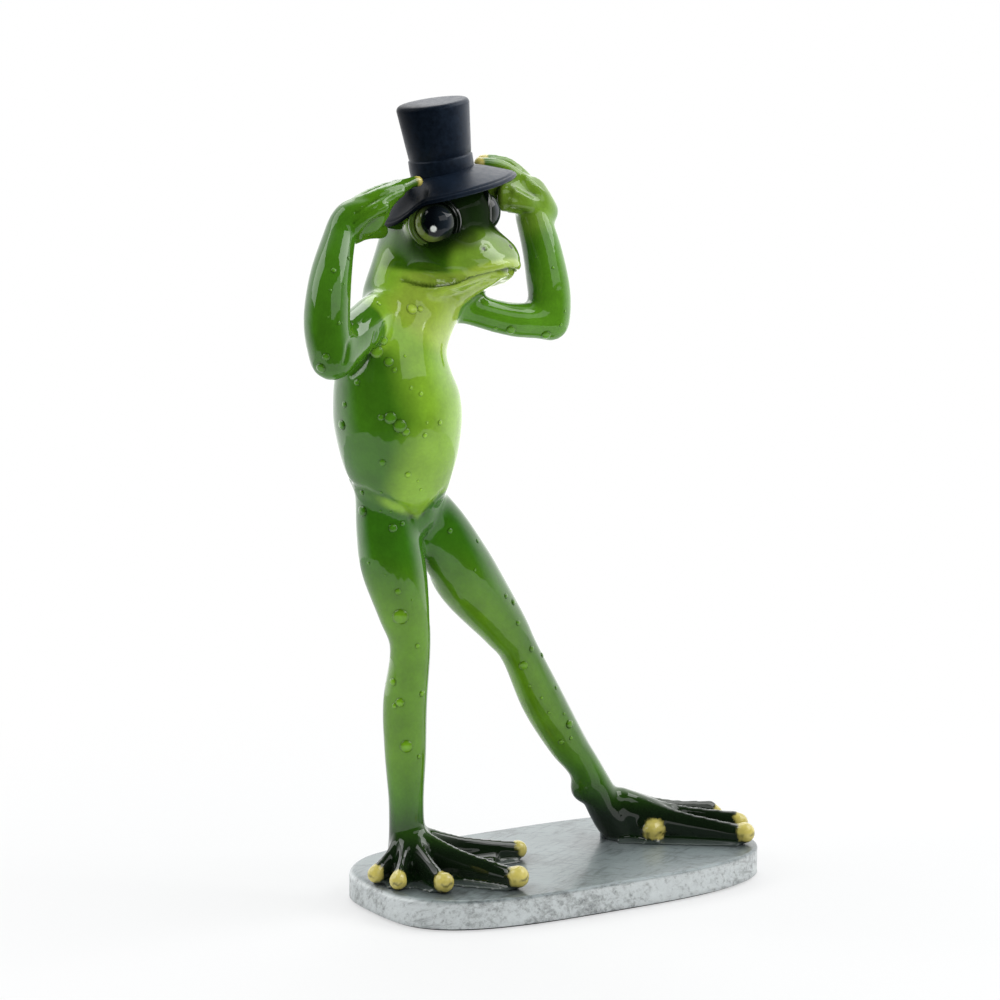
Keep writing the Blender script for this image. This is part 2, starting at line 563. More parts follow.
def crease(points, path, width, depth):
    """P -= n h exp(-(d / w)^2), where d is the distance to the path."""
    valley = depth * np.exp(-((line_distance(points, path) / width) ** 2))
    return points - normals_of(points) * valley[:, None]


def nearest(points, places):
    """The point of the skin nearest to each place."""
    return np.array([points[np.argmin(((points - p) ** 2).sum(1))] for p in np.asarray(places)])


def on_skin(skin_tree, px, py):
    """Where a ray through a pixel of the photograph meets the skin, and the normal there."""
    middle = PHOTO_WIDTH / 2
    ray = -BACK + RIGHT * (px - middle) / FOCAL - UP * (py - middle) / FOCAL
    hit, way, _, _ = skin_tree.ray_cast(Vector(EYE), Vector(ray).normalized())
    return (np.array(hit), np.array(way)) if hit else (None, None)


def line_on_skin(skin_tree, pixels):
    """Where the pixels of a line meet the skin, without those that miss it."""
    hits = [on_skin(skin_tree, px, py)[0] for px, py in pixels]
    return [hit for hit in hits if hit is not None]


def both_sides(points, path):
    """A path on the near side of the head, run on round the snout along its mirror image."""
    back, side, rise = head_place(path)
    return np.vstack([path, nearest(points, head_point(back, -side, rise))[::-1]])


skin_tree = BVHTree.FromPolygons(skin.tolist(), quads.tolist())
print("rays can meet", len(quads), "quads")

# %% [markdown]
# ## Mouth, folds and nostrils
# The mouth is a sharp crease between two rolled lips, so it is cut last, after a fold
# above it and two swellings beside it. How far each point lies from it is measured
# before the cut moves the skin, because the paint in the gap follows that. Each fold is
# a short crease: where belly meets thigh, between two fingers, or beside the armpit.

# %% Swellings and creases
mouth_pixels = np.array([
    (404, 280), (413, 283), (422, 284.8), (432.5, 285), (445, 284), (455, 282.5), (466, 280), (477.5, 277),
    (489, 274), (500, 271.2), (509, 269.2), (514.5, 268)])
mouth_moves = [  # pixels below the mouth, width and depth in millimetres; a depth under 0 swells
    (-11, 1.0, 0.22), (-5.0, 1.5, -0.4), (4.2, 1.1, -0.3), (0, 0.75, 1.1)]
for pixels_down, width, depth in mouth_moves:
    path = line_on_skin(skin_tree, mouth_pixels + [0, pixels_down])
    path = [hit for hit in path if head_place(hit)[1] > -2]  # the far side mirrors the near one
    mouth = both_sides(skin, np.array(path))
    mouth_gap = line_distance(skin, mouth)
    skin = crease(skin, mouth, width, depth)
folds = [  # pixels of a fold, its width and its depth in millimetres
    ([(350, 482), (366, 490), (386, 499), (404, 508), (412, 517)], 1.3, 0.5),
    ([(450, 485), (442, 492), (432, 503), (424, 515)], 1.3, 0.5),
    ([(356, 213), (370, 203), (386, 194), (402, 187.5)], 0.55, 0.5),
    ([(354, 222), (366, 214.5), (378, 207), (388, 202)], 0.55, 0.5),
    ([(352, 375), (361, 367), (369, 354), (373, 343), (376, 334)], 0.8, 0.6),
    ([(345, 362), (348, 345), (351, 322)], 0.7, 0.5),
]
for pixels, width, depth in folds:
    path = line_on_skin(skin_tree, pixels)
    if len(path) > 1:
        skin = crease(skin, path, width, depth)
temple_pixel, corner_pixel, nostril_pixel = (411, 202), (466, 237), (484, 249)
skin = swell(skin, on_skin(skin_tree, *temple_pixel)[0], 3.2, -1.4)  # keeps the temple under the brim
eye_corner = head_place(on_skin(skin_tree, *corner_pixel)[0])
nostril = on_skin(skin_tree, *nostril_pixel)[0]
back, side, rise = head_place(nostril)
nostrils = [nostril, nearest(skin, [head_point(back, -side, rise)])[0]]
for place in nostrils:
    skin = swell(skin, place, 1.5, 0.35)
    skin = swell(skin, place, 0.6, -1.0)
skin[:, 2] = np.maximum(skin[:, 2], BASE_TOP - 0.1)
normal = normals_of(skin)
print("sculpted the mouth and", len(folds), "folds, nostrils", round(float(back), 1), "mm behind the snout")

# %% [markdown]
# ## Airbrushed colours
# The painter sprayed a deep green over back and limbs, faded it to yellow-green on
# throat and belly, put black-green round the eyes and over the feet, and picked out the
# finger and toe pads in gold. Here each of these is a smooth mask worked out from place
# and direction, and the masks lay colour over colour at every vertex.


# %% Paint helpers
def linear(code):
    """Linear colour from an sRGB hex code: c / 12.92 up to 0.04045, else ((c + 0.055) / 1.055)^2.4."""
    c = np.array([int(code[i:i + 2], 16) for i in (1, 3, 5)]) / 255
    return np.where(c <= 0.04045, c / 12.92, ((c + 0.055) / 1.055) ** 2.4)


def coat(code, points):
    """One colour at every point."""
    return np.repeat(linear(code)[None], len(points), 0)


def over(paint, code, mask):
    """Paint with a colour laid over it where the mask is 1."""
    return paint + (linear(code) - paint) * mask[:, None]


def hollow(points):
    """How far each point lies below the mean of its surroundings, in millimetres."""
    return np.einsum("ij,ij->i", relaxed(points, np.ones(len(points)), 6) - points, normals_of(points))


def give_paint(piece, colours, gloss=1.0):
    """Stores each vertex's linear colour, and how much varnish covers it, for the material to read."""
    layer = piece.data.color_attributes.new("paint", "FLOAT_COLOR", "POINT")
    layer.data.foreach_set("color", np.column_stack([colours, np.ones(len(colours)) * gloss]).ravel())


print("deep green is", np.round(linear("#447819"), 3), "in linear light")

# %% Masks of the body's parts
FRONT = np.array([0.55, -0.83, 0.05])
NEAR_HAND = (-64, -9, 213)
FAR_HAND = (-13, 1, 213)
GROIN_ACROSS = -41.4  # along the camera's right, where the dark of the two thighs meets
GROIN_HEIGHT = 119.8
GROIN_TOP = 127
finger_pads = [
    (-51.5, -7.5, 219.1), (-52, 1.5, 217.4), (-26.7, 3.0, 223.1), (-22.9, 7.0, 223.7), (-15.6, 11.5, 222.2)]


def arm_masks(points):
    """1 on the far arm, and 1 on either arm, from the distance to the arm's middle line."""
    far_arm = ramp(8.6, 7.0, line_distance(points, np.vstack([left_upper[1:, :3], left_fore[1:, :3]])))
    return far_arm, np.maximum(ramp(9.2, 7.8, line_distance(points, right_upper[2:, :3])), far_arm)


def head_mask(points):
    """1 on the head, but not on the arms beside it."""
    return spot(points, head_point(18, 0, 2), 26, 33) * (1 - arm_masks(points)[1])


def pads_mask(points):
    """1 on the pads: the top of each toe's and the whole of each finger's, with a ragged edge."""
    x, y, z = points.T
    mask = np.zeros(len(points))
    ragged = 0.25 * np.sin(x * 1.9 + 1.0) * np.sin(y * 2.1) + 0.12 * np.sin(z * 2.6)
    for root, tips, pads, lifts in feet:
        for tip, pad, lift in zip(tips, pads, lifts):
            out = (tip - root) / np.linalg.norm(tip - root)
            away = points - np.array([*(tip + out * 0.7), BASE_TOP + pad + lift / 2 + 0.5])
            gold = 1 - ramp(pad, pad + 0.5, np.linalg.norm(away, axis=1) + ragged)
            fold = np.abs(away[:, 2] + 0.7 + 0.5 * np.sin(away[:, 0] * 1.9) * np.cos(away[:, 1] * 1.6))
            wrinkle = 1 - ramp(0.15, 0.5, fold)
            mask = np.maximum(mask, gold * (1 - 0.75 * wrinkle * ramp(1.0, 2.0, away[:, :2] @ out)))
    for tip in finger_pads:
        mask = np.maximum(mask, 1 - ramp(2.3, 2.9, distance(points, tip) + ragged))
    return mask


print("gold pads:", sum(len(tips) for _, tips, _, _ in feet) + len(finger_pads))


# %% Sprayed colours
def spray_trunk(paint, points, normal):
    """Dark thigh tops below the groin's line, a paler far arm, and a yellow-green belly between the arms."""
    z = points[:, 2]
    far_arm, arms = arm_masks(points)
    across = points @ RIGHT - GROIN_ACROSS
    groin = np.minimum(GROIN_HEIGHT + np.where(across < 0, -0.45, 1.15) * across, GROIN_TOP)
    paint = over(paint, "#306814", ramp(groin + 1, groin - 1.5, z) * ramp(groin - 30, groin - 4, z) * .6)
    paint = over(paint, "#5f9722", far_arm * ramp(-0.4, 0.5, normal @ np.array([0.5, -0.8, -0.2])) * .8)
    middle = line_distance(points, torso_path[:, :3])
    trunk = ramp(groin - 0.5, groin + 1.5, z) * ramp(210, 200, z) * (1 - ramp(19, 24, middle))
    belly_edge = np.interp(z, [120, 135, 150, 168, 180, 195], [-0.2, 0.15, 0.45, 0.3, -0.3, -0.6])
    return over(paint, "#8dba34", trunk * (1 - arms) * ramp(0, 0.55, normal @ FRONT - belly_edge))


def spray_head(paint, points, normal, gap):
    """Yellow-green throat, dark crown, pale snout and lips, the mouth's line, and dark round the eyes."""
    back, _, above = head_place(points)
    over_lip = above - np.interp(back, head_back, lip_line)
    head = head_mask(points)
    throat = head * ramp(-5.0, -6.5, above) * ramp(30, 24, back)
    paint = over(paint, "#a9d33a", throat * ramp(-0.9, -0.1, normal @ FRONT))
    crown = head * ramp(9.5, 14.5, back) * ramp(38, 30, back)
    paint = over(paint, "#2b560a", crown * ramp(3.2, 5.2, over_lip) * .92)
    paint = over(paint, "#8fae42", head * ramp(14, 4, back) * ramp(2.4, 4.4, over_lip) * .6)
    lip_top = np.interp(back, [0, 8, 25], [4.2, 4.8, 4.6])
    lip_low = np.interp(back, [0, 8, 25], [2.0, 2.8, 3.0])
    paint = over(paint, "#adc84a", ramp(lip_top, lip_low, over_lip) * head * ramp(31, 24, back) * .9)
    paint = over(paint, "#36520e", (1 - ramp(0.3, 0.85, gap)) * ramp(36, 22, back) * .9)
    for side in (1, -1):
        centre, way = eye_place(side)
        paint = over(paint, "#0c1608", spot(points, centre + RISE * 1.5, 7.0, 15.5) * .93)
        outer = centre - np.cross(RISE, way) * side * 9.0 - RISE * 1.0
        paint = over(paint, "#7d9c38", spot(points, outer, 1.5, 5.0) * .8)
    paint = over(paint, "#16240f", spot(points, head_point(17, -1, 16), 7, 14) * .92)
    for side in (1, -1):
        corner = head_point(eye_corner[0], side * eye_corner[1], eye_corner[2])
        paint = over(paint, "#16220e", spot(points, corner, 2.0, 7.0) * .6)
    return paint


def spray_legs(paint, points, normal):
    """Black-green feet, bright shins, and a far leg that is pale on its lit side and dark on the other."""
    z = points[:, 2]
    paint = over(paint, "#141c14", ramp(BASE_TOP + 27, BASE_TOP + 8, z) * .97)
    shins = ramp(BASE_TOP + 16, BASE_TOP + 42, z) * ramp(112, 88, z)
    paint = over(paint, "#6f9d1c", shins * ramp(-0.3, 0.6, normal @ np.array([-0.62, -0.75, -0.2])) * .6)
    far_leg = ramp(13, 10.5, line_distance(points, left_leg[1:, :3])) * ramp(BASE_TOP + 16, BASE_TOP + 34, z)
    paint = over(paint, "#7cad36", far_leg * ramp(0.25, 0.85, -(normal @ RIGHT)) * .55)
    return over(paint, "#22560a", far_leg * ramp(0.35, 0.9, normal @ RIGHT) * .6)


def spray_hands(paint, points, normal):
    """Paler green on both hands, and paler again on the front of the far one."""
    hands = np.maximum(near(points, NEAR_HAND, 17), near(points, FAR_HAND, 15))
    paint = over(paint, "#5c8c18", hands * .45)
    lit = near(points, FAR_HAND, 16) * ramp(-0.3, 0.5, normal @ np.array([-0.1, -0.95, 0.2]))
    return over(paint, "#86a838", lit * .6)


def frog_paint(points, normal, gap):
    """Colour at each point of the frog, from the masks in the order that the painter sprayed them."""
    paint = coat("#447819", points)
    paint = over(paint, "#2a5f12", ramp(0.1, 0.9, normal @ np.array([-0.6, 0.8, 0.1])) * 0.85)
    paint = spray_trunk(paint, points, normal)
    paint = spray_head(paint, points, normal, gap)
    paint = spray_legs(paint, points, normal)
    paint = spray_hands(paint, points, normal)
    face = head_mask(points) * ramp(34, 28, head_place(points)[0])
    paint = over(paint, "#10290a", ramp(0.06, 0.36, hollow(points)) * .6 * (1 - face))
    paint = over(paint, "#4b5350", ramp(BASE_TOP + 1.3, BASE_TOP + 0.9, points[:, 2]) * .9)
    for place in nostrils:
        paint = over(paint, "#0c1206", spot(points, place, 0.4, 1.0))
    return over(paint, "#cdbf66", pads_mask(points))


paint = frog_paint(skin, normal, mouth_gap)
frog = make_object("frog_skin", skin, quads)
give_paint(frog, paint, 1 - 0.96 * spot(skin, head_point(18, -0.5, 14), 9, 12.5))  # dull under the hat
print("painted", len(paint), "points")


# %% [markdown]
# ## Materials: one helper
# A material is a small graph of nodes. One function adds a node, with its settings and
# its links, and everything else is which nodes and which numbers.

# %% Node helper
def new_material(name, **shader):
    """Material with a Principled shader, its sockets set by name (underscores stand for spaces)."""
    material = bpy.data.materials.new(name)
    material.use_nodes = True
    principled = material.node_tree.nodes["Principled BSDF"]
    for key, value in shader.items():
        principled.inputs[key.replace("_", " ")].default_value = value
    return material, material.node_tree, principled


def node(tree, kind, settings=None, **links):
    """Adds a node. Settings are its own properties, links are sockets or values for its inputs.

    An input is named with underscores for spaces, or numbered as i0, i1 and so on."""
    made = tree.nodes.new(kind)
    for key, value in (settings or {}).items():
        setattr(made, key, value)
    for key, value in links.items():
        numbered = key[0] == "i" and key[1:].isdigit()
        socket = made.inputs[int(key[1:]) if numbered else key.replace("_", " ")]
        if isinstance(value, bpy.types.NodeSocket):
            tree.links.new(value, socket)
        else:
            socket.default_value = value
    return made


def stops(ramp_node, *rows):
    """Sets the stops of a colour ramp from rows of position and linear colour or grey."""
    band = ramp_node.color_ramp
    while len(band.elements) < len(rows):
        band.elements.new(0.5)
    for element, (place, colour) in zip(band.elements, rows):
        element.position = place
        element.color = (*colour, 1) if hasattr(colour, "__len__") else (colour, colour, colour, 1)


print("node helper is ready")

# %% [markdown]
# ## Varnished airbrush paint
# Acrylic paint on polyester resin under a thick clear varnish. The eye sees a deep
# colour with fine mottling from the airbrush, under a smooth wet-looking coat that
# mirrors the studio's softboxes with sharp edges.

# %% Frog's finish
MOTTLE_MM = 9
SPECK_MM = 0.9
RIPPLE_MM = 6
# Gloss-varnished airbrush paint: acrylic sprayed on a resin casting, which is then dipped in
# clear varnish. It gives deep mottled green under sharp, wet-looking mirror highlights.
varnished, tree, shader = new_material(
    "varnished_airbrush_on_resin", Roughness=0.5, IOR=1.5, Specular_IOR_Level=0.0,
    Coat_Weight=1.0, Coat_Roughness=0.03, Coat_IOR=1.5)
where = node(tree, "ShaderNodeTexCoord").outputs["Object"]
painted = node(tree, "ShaderNodeAttribute", {"attribute_name": "paint"}).outputs
mottle = node(
    tree, "ShaderNodeTexNoise", Vector=where, Scale=1 / (MOTTLE_MM * MM),
    Detail=4.0, Roughness=0.6).outputs["Fac"]
speck = node(tree, "ShaderNodeTexNoise", Vector=where, Scale=1 / (SPECK_MM * MM), Detail=2.0).outputs["Fac"]
tone = node(
    tree, "ShaderNodeMapRange", Value=mottle, From_Min=0.3, From_Max=0.7, To_Min=0.84, To_Max=1.14).outputs[0]
grain = node(
    tree, "ShaderNodeMapRange", Value=speck, From_Min=0.3, From_Max=0.7, To_Min=0.95, To_Max=1.05).outputs[0]
both = node(tree, "ShaderNodeMath", {"operation": "MULTIPLY"}, i0=tone, i1=grain).outputs[0]
colour = node(
    tree, "ShaderNodeVectorMath", {"operation": "SCALE"}, i0=painted["Color"], Scale=both).outputs[0]
tree.links.new(colour, shader.inputs["Base Color"])
tree.links.new(painted["Alpha"], shader.inputs["Coat Weight"])
ripple = node(tree, "ShaderNodeTexNoise", Vector=where, Scale=1 / (RIPPLE_MM * MM), Detail=1.0).outputs["Fac"]
bump = node(tree, "ShaderNodeBump", Strength=0.10, Distance=0.4 * MM, Height=ripple).outputs[0]
tree.links.new(bump, shader.inputs["Coat Normal"])
tree.links.new(bump, shader.inputs["Normal"])
frog.data.materials.append(varnished)
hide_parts("torso", "head", "right_arm", "left_arm", "right_leg", "left_leg")
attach(frog, "root")
print("material", varnished.name)

# %% [markdown]
# ## Glass eyes
# Half-round glass cabochons with a black pupil and an olive ring painted behind them.
# The dome is a piece of a sphere on a short stem, and the paint is worked out from the
# distance to the pupil's middle, which sits a little towards the snout.

# %% Eyes
GLASS_RADIUS = 6.1
GLASS_RISE = 4.6
SIDES = ((1, "right"), (-1, "left"))


def outer_side(away, inward, lower):
    """How much a place on the eye lies to its outer and lower side, from -1 to 1."""
    return (away @ (inward * -0.8 - RISE * lower)) / np.maximum(np.linalg.norm(away, axis=1), 1)


def eye_paint(points, centre, facing, inward):
    """Black pupil in an olive and grey ring, a black edge, and one white glint painted in."""
    flat = points - centre
    flat = flat - np.outer(flat @ facing, facing)
    pupil = distance(flat, inward * 0.4 + RISE * 0.6)
    lit = ramp(-0.3, 0.9, outer_side(flat, inward, 0.5))
    shade = over(coat("#080c10", points), "#29323a", ramp(-1.0, 5.0, flat @ inward) * .8)
    shade = over(shade, "#222b22", ramp(4.2, 4.7, pupil))
    shade = over(shade, "#6f7f3a", ramp(4.2, 4.7, pupil) * lit)
    shade = over(shade, "#0a0d0a", ramp(5.4, 5.9, np.linalg.norm(flat, axis=1)))
    return over(shade, "#f2f4ee", spot(flat, inward * -0.3 - RISE * 1.4, 0.75, 1.05))


sphere = (GLASS_RADIUS**2 + GLASS_RISE**2) / (2 * GLASS_RISE)
bow = np.linspace(0.02, math.asin(GLASS_RADIUS / sphere), 24)
dome = np.column_stack([sphere * np.sin(bow), sphere * np.cos(bow) - sphere + GLASS_RISE])
glass_profile = np.vstack([dome, [(GLASS_RADIUS, -1.0), (6.0, -1.9), (0.3, -2.0)]])
# Painted glass cabochon: a clear half round, pressed and fire-polished, with black and olive
# enamel behind it. It gives a deep dark eye with one bright reflection.
glass, tree, shader = new_material(
    "painted_glass_cabochon", Roughness=0.25, IOR=1.52, Specular_IOR_Level=0.0,
    Coat_Weight=0.8, Coat_Roughness=0.0, Coat_IOR=1.42)
painted = node(tree, "ShaderNodeAttribute", {"attribute_name": "paint"}).outputs["Color"]
tree.links.new(painted, shader.inputs["Base Color"])
for side, label in SIDES:
    centre, facing = eye_place(side)
    points, faces = turned(centre, facing, glass_profile, 64)
    eye = make_object(f"{label}_glass_eye", points, faces)
    give_paint(eye, eye_paint(points, centre, facing, np.cross(RISE, facing) * side))
    eye.data.materials.append(glass)
    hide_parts(f"{label}_eye")
    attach(eye, "root")
    print(eye.name, "faces:", len(faces))

# %% [markdown]
# ## Eyelids
# Each glass eye sits in a raised ring with a groove round it, modelled on the head of
# the real frog. A ring is one profile turned about the way the eye faces, and it wears
# the frog's own varnished paint: nearly black, and olive on the outer side.

# %% Eyelids
lid_profile = [
    (0.4, -1.7), (5.8, -1.6), (5.85, 0.2), (6.0, 0.7), (6.3, 0.95), (6.6, 0.8), (6.8, 0.42), (6.95, 0.42),
    (7.2, 0.5), (7.45, 0.3), (7.7, -0.2), (7.9, -1.2), (7.7, -2.6), (5.8, -2.3), (0.4, -2.4)]
for side, label in SIDES:
    centre, facing = eye_place(side)
    points, faces = turned(centre, facing, lid_profile, 96)
    lid = make_object(f"{label}_eyelid", points, faces)
    olive = ramp(0.1, 0.9, outer_side(points - centre, np.cross(RISE, facing) * side, 0.45))
    give_paint(lid, over(coat("#0b130a", points), "#5f7a30", olive * .7))
    lid.data.materials.append(varnished)
    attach(lid, "root")
    print(lid.name, "faces:", len(faces))

# %% [markdown]
# ## Dew drops
# Clear drops of varnish stand on the skin like dew. Each is a flat dome of about a
# hundred faces, set square to the skin. Those in the photograph are placed by pixel and
# radius; behind, more are scattered from a fixed seed. The paint under a drop looks
# lighter in its middle and darker at its rim, because the dome bends light as a lens does.

# %% Dew
seen_drops = [  # x, y and radius in pixels of the photograph
    (377, 352, 6.5), (388.8, 361.8, 5), (394.5, 370, 2.8), (411, 388, 2), (421, 394, 2.6),
    (357, 382.5, 3.5), (344.5, 404.5, 3.5), (342, 425, 5.5), (381, 417.5, 3.5), (390.5, 418, 6.5),
    (400, 426, 7), (406, 432, 4.2), (425, 435.5, 3), (440, 422.5, 3), (427, 423, 1.5),
    (382.5, 462.5, 4), (408, 474.5, 3.5), (418, 481, 1.6), (421, 489.5, 2), (381, 492.5, 2),
    (362, 492.5, 3), (362.5, 511, 6), (380.5, 511, 1.6), (391, 512, 1.6), (405, 356, 1.8),
    (339, 323, 2), (326, 357, 4), (321, 368, 5.2), (384, 341, 4.5), (392.9, 528, 4.6),
    (402.3, 523.6, 3), (398, 591.8, 3.8), (400.6, 616.8, 8.5), (417.5, 645.8, 3), (422, 693.4, 3.8),
    (400, 702.5, 5), (394.5, 706, 3.2), (406.4, 746.4, 7), (419, 756.5, 2.7), (368.6, 563, 2),
    (393, 682, 4.4), (450, 531, 3), (477.6, 541, 2.7), (506, 596, 3), (513.3, 602, 3.8),
    (518, 623, 3.2), (531.6, 648.8, 3.8), (542, 655, 3.0), (523.8, 665.4, 5.4), (556, 687.6, 2.4),
    (530, 686, 2), (541.7, 697.8, 2), (564, 713.6, 2), (569.4, 724, 5), (561.3, 742, 3.5),
    (571, 738, 2.5), (549, 712.6, 2), (474.9, 570, 1.7), (349, 258.3, 2.5), (333.8, 270.5, 2.7),
    (344, 283.7, 1.2), (330.6, 290.3, 1.6), (328.2, 317, 1.2), (342, 322.9, 1.4), (510.8, 329.8, 5.2),
    (495.8, 328, 2.4), (546, 335, 5.5), (560.7, 325, 2), (565, 311, 1.6), (553, 267.7, 1.8),
    (537, 257, 1.5), (412, 309, 6), (420.4, 309, 3.8), (379, 303.5, 2.8), (412, 600, 1.2),
    (385, 575, 1.2)]
MM_PER_PIXEL = 0.295
MOST_HIDDEN = 75
hidden_radii = [0.45, 0.6, 0.8, 1.1, 1.5, 2.0]
hidden_shares = [.25, .25, .2, .15, .1, .05]
arc = np.linspace(0.2, 1.0, 4) * math.pi / 2
dew_profile = np.vstack([np.column_stack([np.sin(arc), 0.42 * np.cos(arc)]), [(0.85, -0.28)]])
skin_tree = BVHTree.FromPolygons(skin.tolist(), quads.tolist())
chosen = []
for px, py, radius in seen_drops:
    hit, way = on_skin(skin_tree, px, py)
    if hit is not None and way @ BACK > 0.2:
        chosen.append((hit, way, radius * MM_PER_PIXEL))
chance = np.random.default_rng(11)
for index in chance.choice(len(skin), 1500, replace=False):
    place, way = skin[index], normal[index]
    hidden = way @ BACK < -0.35 and 40 < place[2] < 195
    if not hidden or len(chosen) >= len(seen_drops) + MOST_HIDDEN:
        continue
    if min([9.0] + [np.linalg.norm(place - other) for other, _, _ in chosen]) > 4.5:
        chosen.append((place, way, float(chance.choice(hidden_radii, p=hidden_shares))))
drops, drop_paint = [], []
for place, way, radius in chosen:
    around = 12 if radius > 1.2 else 8
    points, faces = turned(place, way, dew_profile * radius, around, start=(0.3, 0.5, 0.81))
    drops.append((points, faces))
    under = paint[np.argmin(((skin - place) ** 2).sum(1))]
    away = points - place
    out = np.linalg.norm(away - np.outer(away @ way, way), axis=1) / radius
    lens = np.interp(out, [0, 0.55, 0.8, 0.95, 1.0], [1.4, 1.25, 1.0, 0.6, 0.6])
    drop_paint.append((under + linear("#2c3a06") * 0.5) * lens[:, None])
points, faces = merged(drops)
dew = make_object("dew_drops", points, faces)
give_paint(dew, np.vstack(drop_paint))
dew.data.materials.append(varnished)
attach(dew, "root")
print("drops:", len(chosen), "faces:", len(faces))

# %% [markdown]
# ## The hat
# A top hat turned as one profile about a leaning axis: a crown that widens upwards with
# a rounded edge, a band with a groove above it, and a brim like a shallow cone. The
# brim is then bent down where the hands press on it.

# %% Hat
HAT_LEAN = math.radians(9.3)
HAT_WAY = np.array([-math.sin(HAT_LEAN), 0, math.cos(HAT_LEAN)])
BRIM_LEAN = math.radians(12.5)
BRIM_BACK = math.radians(3.5)
BRIM_WAY = np.array([
    -math.sin(BRIM_LEAN) * math.cos(BRIM_BACK),
    math.sin(BRIM_BACK),
    math.cos(BRIM_LEAN) * math.cos(BRIM_BACK)])
BRIM_ROUND = 0.72
EDGE_ROUND = 1.5


def brim_fall(radius):
    """How far the brim's cone has fallen at a radius: z = -4.9 ((r - 9) / 12)^1.15"""
    return -4.9 * ((radius - 9) / 12) ** 1.15


crown_profile = [
    (0.4, -1.6), (9.35, -1.6), (9.4, 0.2), (9.5, 1.2), (9.5, 4.0), (9.4, 4.25), (9.12, 4.4), (9.1, 4.7),
    (9.25, 4.9), (9.7, 9.0), (10.2, 14.0), (10.72, 18.9)]
crown_profile += [
    (9.25 + EDGE_ROUND * math.cos(a), 19.1 + EDGE_ROUND * math.sin(a))
    for a in np.linspace(0, math.pi / 2, 7)]
crown_profile += [(7.0, 20.62), (3.5, 20.55), (0.4, 20.5)]
brim_profile = [(0.4, -1.4)] + [(r, brim_fall(r) - 1.45) for r in np.linspace(9, 20.2, 14)]
brim_profile += [
    (20.3 + BRIM_ROUND * math.cos(a), -5.5 + BRIM_ROUND * math.sin(a))
    for a in np.linspace(-math.pi / 2, math.pi / 2, 9)]
brim_profile += [(r, brim_fall(r) + 0.05) for r in np.linspace(20.2, 9, 14)] + [(0.4, 0.1)]
points, faces = turned(HAT_SEAT, BRIM_WAY, brim_profile, 128)
away = points - HAT_SEAT
radius = np.linalg.norm(away - np.outer(away @ BRIM_WAY, BRIM_WAY), axis=1)
toward_right = away @ np.array([-0.97, 0.24, 0]) / np.maximum(radius, 1)
toward_left = away @ np.array([0.9, 0.43, 0]) / np.maximum(radius, 1)
press = ramp(9.5, 22, radius) * ramp(0.45, 1.0, toward_right)
lean = ramp(10, 21, radius) * ramp(0.6, 1.0, toward_left)
points = points - BRIM_WAY * (press * 6.0 + lean * 0.8)[:, None]
points, faces = merged([turned(HAT_SEAT, HAT_WAY, crown_profile, 96), (points, faces)])
hat = make_object("top_hat", points, faces)
pressed = ramp(-43, -54, points[:, 0])
give_paint(hat, np.repeat((1 - 0.65 * pressed)[:, None], 3, 1), 0.24 * (1 - 0.93 * pressed))
print("hat:", len(faces), "faces")

# %% [markdown]
# ## Satin black on the hat
# The hat has no varnish on it, so its highlights are wide and soft and slightly blue.
# The brush marks show as noise that varies colour, roughness and height together. At the
# brim's bent end the vertex paint takes both the colour and the shine down.

# %% Hat's finish
BRUSH_MM = 1.6
# Satin black model paint: blue-black acrylic brushed on the casting and left unvarnished.
# It gives soft, wide highlights and faint brush marks.
satin, tree, shader = new_material(
    "satin_black_hat_paint", Roughness=0.42, IOR=1.5, Specular_Tint=(*linear("#d4e2f6"), 1),
    Coat_Weight=0.03, Coat_Roughness=0.3)
where = node(tree, "ShaderNodeTexCoord").outputs["Object"]
brushed = node(
    tree, "ShaderNodeTexNoise", Vector=where, Scale=1 / (BRUSH_MM * MM),
    Detail=5.0, Roughness=0.65).outputs["Fac"]
tone = node(tree, "ShaderNodeValToRGB", Fac=brushed)
stops(tone, (0.3, linear("#0b1420")), (0.7, linear("#172434")))
painted = node(tree, "ShaderNodeAttribute", {"attribute_name": "paint"}).outputs
shaded = node(
    tree, "ShaderNodeVectorMath", {"operation": "MULTIPLY"},
    i0=tone.outputs[0], i1=painted["Color"]).outputs[0]
tree.links.new(shaded, shader.inputs["Base Color"])
tree.links.new(painted["Alpha"], shader.inputs["Specular IOR Level"])
sheen = node(
    tree, "ShaderNodeMapRange", Value=brushed,
    From_Min=0.3, From_Max=0.7, To_Min=0.36, To_Max=0.50).outputs[0]
tree.links.new(sheen, shader.inputs["Roughness"])
bump = node(tree, "ShaderNodeBump", Strength=0.12, Distance=0.15 * MM, Height=brushed).outputs[0]
tree.links.new(bump, shader.inputs["Normal"])
hat.data.materials.append(satin)
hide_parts("hat")
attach(hat, "root")
print("material", satin.name)

# %% [markdown]
# ## The base
# A cast slab in the shape of a superellipse, a rounded oblong. Its top edge is crisp
# along the front and worn round at the frog's right end.


